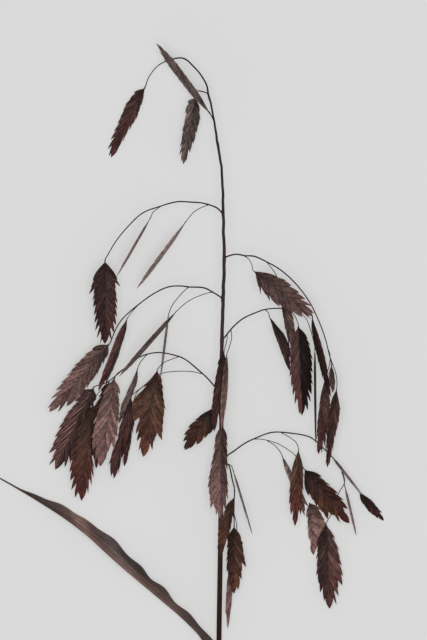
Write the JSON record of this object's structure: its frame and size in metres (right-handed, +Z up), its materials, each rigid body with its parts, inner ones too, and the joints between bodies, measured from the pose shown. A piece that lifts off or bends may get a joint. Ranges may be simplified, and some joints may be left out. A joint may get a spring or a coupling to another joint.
{
  "type": "sea oat seed head",
  "caption": "Dried sea oat seed head lying flat: a thin arching stalk with thread-like branches, flat saw-edged drooping spikelets and one long twisted leaf.",
  "frame": {"origin": "middle of the bounding box, on the surface that the seed head lies on", "axes": "+Y along the stalk from its cut end to its arching top, +X across the seed head to the right seen from above, +Z up from the surface"},
  "size_m": [0.1933, 0.3284, 0.0259],
  "materials": {
    "stem_skin": "dry brown stalk, satin",
    "leaf_blade": "dry grey-brown blade with a faint sheen",
    "husk_red_brown": "dry ribbed husk, dark red-brown, satin",
    "husk_grey_brown": "dry ribbed husk, pinkish grey-brown, dull",
    "husk_olive_brown": "dry ribbed husk, olive-brown, satin",
    "husk_dark": "dry ribbed husk, near-black brown, satin"
  },
  "bodies": {
    "root": {"culm": "stem_skin", "branch_1": "stem_skin", "branch_2": "stem_skin", "branch_3": "stem_skin", "branch_4": "stem_skin", "branch_5": "stem_skin", "branch_6": "stem_skin", "branch_7": "stem_skin", "leaf": "leaf_blade", "spikelet_01": "husk_dark", "spikelet_02": "husk_red_brown", "spikelet_03": "husk_grey_brown", "spikelet_04": "husk_red_brown", "spikelet_05": "husk_grey_brown", "spikelet_06": "husk_grey_brown", "spikelet_07": "husk_red_brown", "spikelet_08": "husk_grey_brown", "spikelet_09": "husk_olive_brown", "spikelet_10": "husk_grey_brown", "spikelet_11": "husk_grey_brown", "spikelet_12": "husk_red_brown", "spikelet_13": "husk_grey_brown", "spikelet_14": "husk_dark", "spikelet_15": "husk_grey_brown", "spikelet_16": "husk_red_brown", "spikelet_17": "husk_dark", "spikelet_18": "husk_red_brown", "spikelet_19": "husk_olive_brown", "spikelet_20": "husk_dark", "spikelet_21": "husk_grey_brown", "spikelet_22": "husk_olive_brown", "spikelet_23": "husk_red_brown", "spikelet_24": "husk_red_brown", "spikelet_25": "husk_red_brown", "spikelet_26": "husk_grey_brown", "spikelet_27": "husk_dark", "spikelet_28": "husk_olive_brown", "spikelet_29": "husk_olive_brown", "spikelet_30": "husk_olive_brown", "spikelet_31": "husk_red_brown", "spikelet_32": "husk_red_brown", "spikelet_33": "husk_red_brown", "spikelet_34": "husk_dark", "spikelet_35": "husk_dark", "spikelet_36": "husk_red_brown", "spikelet_37": "husk_red_brown", "spikelet_38": "husk_dark", "spikelet_39": "husk_dark", "spikelet_40": "husk_grey_brown", "spikelet_41": "husk_red_brown", "spikelet_42": "husk_olive_brown", "spikelet_43": "husk_grey_brown", "spikelet_44": "husk_grey_brown"}
  },
  "joints": []
}
